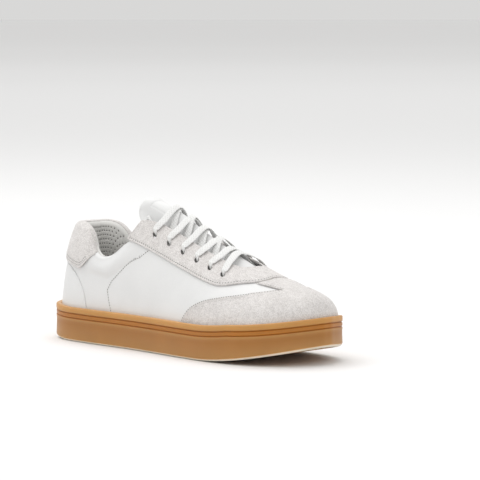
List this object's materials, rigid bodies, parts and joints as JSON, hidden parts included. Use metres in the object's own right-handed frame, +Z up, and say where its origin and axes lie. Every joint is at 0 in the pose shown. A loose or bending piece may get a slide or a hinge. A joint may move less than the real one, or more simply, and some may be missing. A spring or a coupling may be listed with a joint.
{
  "type": "court shoe",
  "caption": "Low right-foot court shoe with a gum cup sole, smooth and suede panels, padded collar, hinged padded tongue and a flat lace.",
  "frame": {"origin": "on the ground under the middle of the shoe's bounding box", "axes": "+X towards the toe, +Y towards the inner (medial) side, +Z up; the outer side faces -Y"},
  "size_m": [0.3005, 0.1047, 0.1235],
  "materials": {
    "gum_rubber": "satin",
    "eva": "matt",
    "board": "matt",
    "footbed_textile": "matt",
    "smooth_leather": "satin",
    "suede": "matt",
    "facing_tape": "matt",
    "stiffener": "matt",
    "lining_textile": "matt",
    "foam": "matt",
    "perforated_lining": "matt",
    "cotton_lace": "matt",
    "aglet_film": "gloss"
  },
  "bodies": {
    "shoe": {"outsole": "gum_rubber", "midsole": "eva", "lasting_board": "board", "footbed_foam": "eva", "footbed_cover": "footbed_textile", "quarter_lateral": "smooth_leather", "quarter_medial": "smooth_leather", "toe_guard": "suede", "eyestay": "suede", "facing_lateral": "facing_tape", "facing_medial": "facing_tape", "heel_panel": "smooth_leather", "heel_tab": "suede", "heel_counter": "stiffener", "toe_puff": "stiffener", "vamp_lining": "lining_textile", "collar_foam": "foam", "collar_lining": "perforated_lining", "lace": "cotton_lace", "aglet_lateral": "aglet_film", "aglet_medial": "aglet_film"},
    "tongue": {"tongue_shell": "smooth_leather", "tongue_foam": "foam", "tongue_lining": "lining_textile"}
  },
  "joints": [
    {"name": "tongue_hinge", "type": "hinge", "parent": "shoe", "child": "tongue", "pos_m": [0.0745, 0, 0.0655], "axis": [0, -1, 0], "range_deg": [0, 8]}
  ]
}
